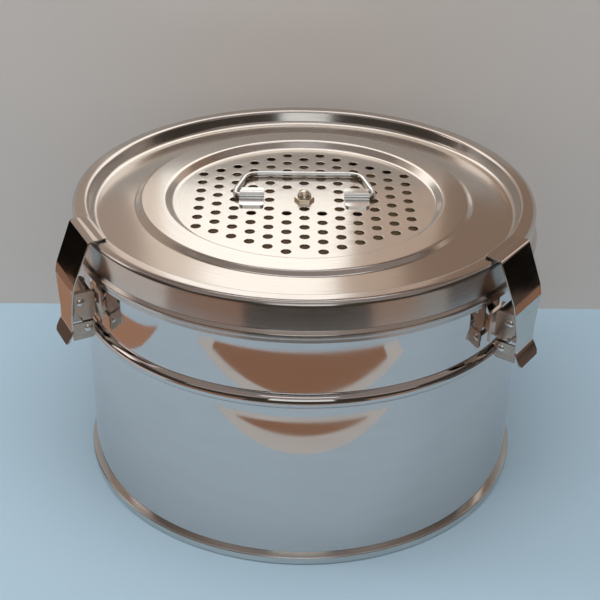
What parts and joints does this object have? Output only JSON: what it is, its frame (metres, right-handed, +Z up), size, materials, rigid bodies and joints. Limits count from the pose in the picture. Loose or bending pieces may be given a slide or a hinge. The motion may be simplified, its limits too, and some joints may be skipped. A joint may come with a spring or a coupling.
{
  "type": "sterilization drum",
  "caption": "Round stainless sterilization drum with a lift-off perforated lid, sealing ring, filter holder, folding wire handle and hook clamps on riveted links.",
  "frame": {"origin": "under the centre of the drum, on the face it stands on", "axes": "+Z up along the drum's axis, -Y towards the viewer, +X to the viewer's right, the clamps on the -Y half"},
  "size_m": [0.2762, 0.272, 0.1712],
  "materials": {
    "polished_steel": "mirror-polished stainless sheet, faint rolling lines round the wall",
    "lid_steel": "finely spun satin stainless sheet, brighter on the rolled edges",
    "plain_steel": "plain mill-finish stainless steel",
    "clamp_steel": "polished stainless strip with drawn edges",
    "rivet_steel": "bright steel rivet, domed heads",
    "zinc_wire": "bright plated steel wire",
    "zinc_sheet": "bright plated pressed sheet",
    "nut_plating": "dull nickel plating with a warm tint",
    "silicone": "soft translucent pale silicone rubber",
    "filter_felt": "tan pressed fibre filter, matt"
  },
  "bodies": {
    "drum": {"body_shell": "polished_steel", "body_bottom": "polished_steel", "clamp_left_bracket": "clamp_steel", "clamp_right_bracket": "clamp_steel", "clamp_upper_rivets": "rivet_steel"},
    "lid": {"lid_shell": "lid_steel", "lid_disc": "lid_steel", "lid_gasket": "silicone", "lid_spacer": "plain_steel", "lid_filter": "filter_felt", "lid_filter_holder": "plain_steel", "lid_stud": "plain_steel", "lid_cap_nut": "nut_plating", "handle_clip_left": "zinc_sheet", "handle_clip_right": "zinc_sheet"},
    "filter_nut": {"lid_wing_nut": "nut_plating"},
    "handle": {"handle_bail": "zinc_wire"},
    "link_left": {"clamp_left_link": "clamp_steel", "clamp_left_lower_rivet": "rivet_steel"},
    "link_right": {"clamp_right_link": "clamp_steel", "clamp_right_lower_rivet": "rivet_steel"},
    "lever_left": {"clamp_left_lever": "clamp_steel"},
    "lever_right": {"clamp_right_lever": "clamp_steel"}
  },
  "joints": [
    {"name": "lid_lift", "type": "slide", "parent": "drum", "child": "lid", "axis": [0, 0, 1], "range_m": [0, 0.035]},
    {"name": "clamp_left_link_swing", "type": "hinge", "parent": "drum", "child": "link_left", "pos_m": [-0.12663, -0.06314, 0.1318], "axis": [-0.4462, 0.8949, 0], "range_deg": [0, 56]},
    {"name": "clamp_left_lever_turn", "type": "hinge", "parent": "link_left", "child": "lever_left", "pos_m": [-0.12368, -0.06166, 0.116], "axis": [0.4462, -0.8949, 0], "range_deg": [0, 206]},
    {"name": "clamp_right_link_swing", "type": "hinge", "parent": "drum", "child": "link_right", "pos_m": [0.11548, -0.08177, 0.1318], "axis": [-0.5779, -0.8161, 0], "range_deg": [0, 56]},
    {"name": "clamp_right_lever_turn", "type": "hinge", "parent": "link_right", "child": "lever_right", "pos_m": [0.11279, -0.07986, 0.116], "axis": [0.5779, 0.8161, 0], "range_deg": [0, 206]},
    {"name": "handle_fold", "type": "hinge", "parent": "lid", "child": "handle", "pos_m": [0, 0.002, 0.1641], "axis": [1, 0, 0], "range_deg": [0, 178]},
    {"name": "filter_nut_turn", "type": "hinge", "parent": "lid", "child": "filter_nut", "pos_m": [0, 0, 0.1511], "axis": [0, 0, 1], "continuous": true}
  ],
  "couplings": [
    {"joint": "clamp_left_link_swing", "follows": "lid_lift", "rad_per_m": 27.427},
    {"joint": "clamp_left_lever_turn", "follows": "lid_lift", "rad_per_m": 102.23},
    {"joint": "clamp_right_link_swing", "follows": "lid_lift", "rad_per_m": 27.427},
    {"joint": "clamp_right_lever_turn", "follows": "lid_lift", "rad_per_m": 102.23}
  ]
}
